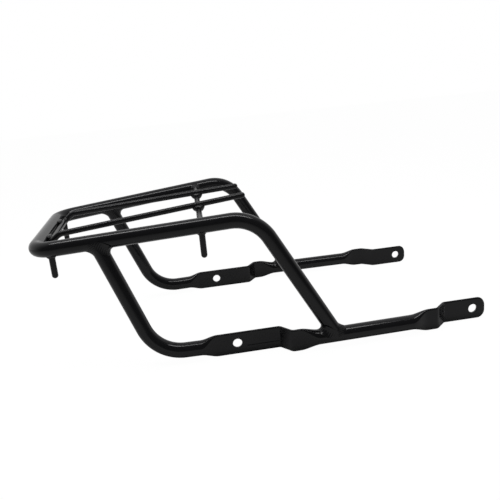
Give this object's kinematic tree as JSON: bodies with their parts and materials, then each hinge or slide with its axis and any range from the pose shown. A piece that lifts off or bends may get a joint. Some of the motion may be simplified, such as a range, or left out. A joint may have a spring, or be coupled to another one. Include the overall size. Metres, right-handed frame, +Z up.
{
  "type": "motorcycle luggage rack",
  "caption": "Welded tube rear luggage rack: a bent hoop platform with an inner rod frame and stop pegs, on pressed lower bars with bolt tabs.",
  "frame": {"origin": "midway between the two rear bolt holes, at the height of the lower bars' axis", "axes": "+X to the front of the motorcycle, +Y to its left, +Z up"},
  "size_m": [0.4786, 0.2716, 0.1567],
  "materials": {
    "painted_tube": "gloss black paint over bent steel tube",
    "painted_rod": "gloss black paint over steel rod",
    "painted_weld": "gloss black paint over rippled weld"
  },
  "bodies": {
    "root": {"main_hoop": "painted_tube", "lower_bar_right": "painted_tube", "lower_bar_left": "painted_tube", "inner_rod": "painted_rod", "cross_bar": "painted_rod", "peg_front_right": "painted_rod", "peg_front_left": "painted_rod", "peg_rear_right": "painted_rod", "peg_rear_left": "painted_rod", "weld_leg_right": "painted_weld", "weld_leg_left": "painted_weld", "weld_foot_right": "painted_weld", "weld_foot_left": "painted_weld", "weld_rod_rear_right": "painted_weld", "weld_rod_rear_left": "painted_weld", "weld_crossing_right": "painted_weld", "weld_crossing_left": "painted_weld", "weld_cross_end_right": "painted_weld", "weld_cross_end_left": "painted_weld", "weld_peg_front_right": "painted_weld", "weld_peg_front_left": "painted_weld", "weld_peg_rear_right": "painted_weld", "weld_peg_rear_left": "painted_weld"}
  },
  "joints": []
}
